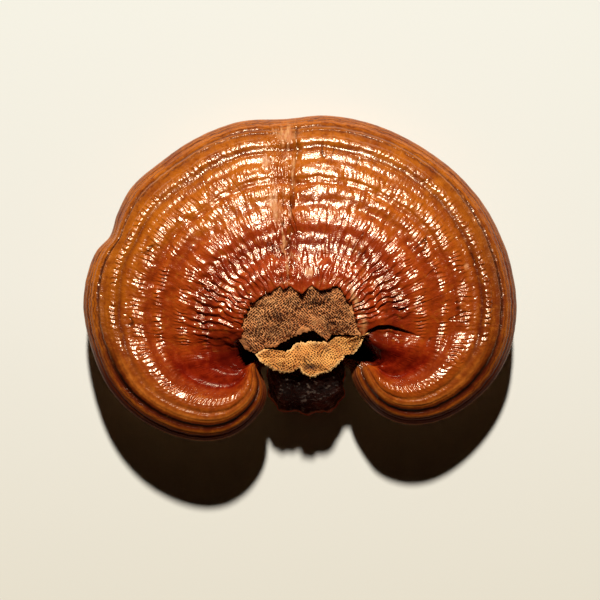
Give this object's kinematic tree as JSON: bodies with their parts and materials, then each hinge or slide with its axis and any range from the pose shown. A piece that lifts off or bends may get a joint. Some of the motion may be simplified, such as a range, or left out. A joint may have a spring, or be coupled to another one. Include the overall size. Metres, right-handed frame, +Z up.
{
  "type": "reishi mushroom",
  "caption": "Dried reishi fungus: a lacquered kidney-shaped cap with growth ridges, pore tissue at its notch and a short dark stem cut flat.",
  "frame": {"origin": "middle of the bounding box in plan, at the height of the surface that the mushroom lies on", "axes": "+X across the cap, +Y from the stem towards the far margin, +Z up"},
  "size_m": [0.1414, 0.1068, 0.032],
  "materials": {
    "lacquered_skin": "glossy red-brown lacquer in orange, golden and dark bands; matte tan pores underneath",
    "dark_stem": "glossy black-brown, wrinkled, with a matte tan cut",
    "pore_tissue": "matte tan-brown, pitted with fine pores",
    "young_pore_tissue": "matte yellow-tan, pitted, with a pale ruffled rim"
  },
  "bodies": {
    "root": {"cap": "lacquered_skin", "stem": "dark_stem", "pore_patch": "pore_tissue", "pore_lip": "young_pore_tissue"}
  },
  "joints": []
}
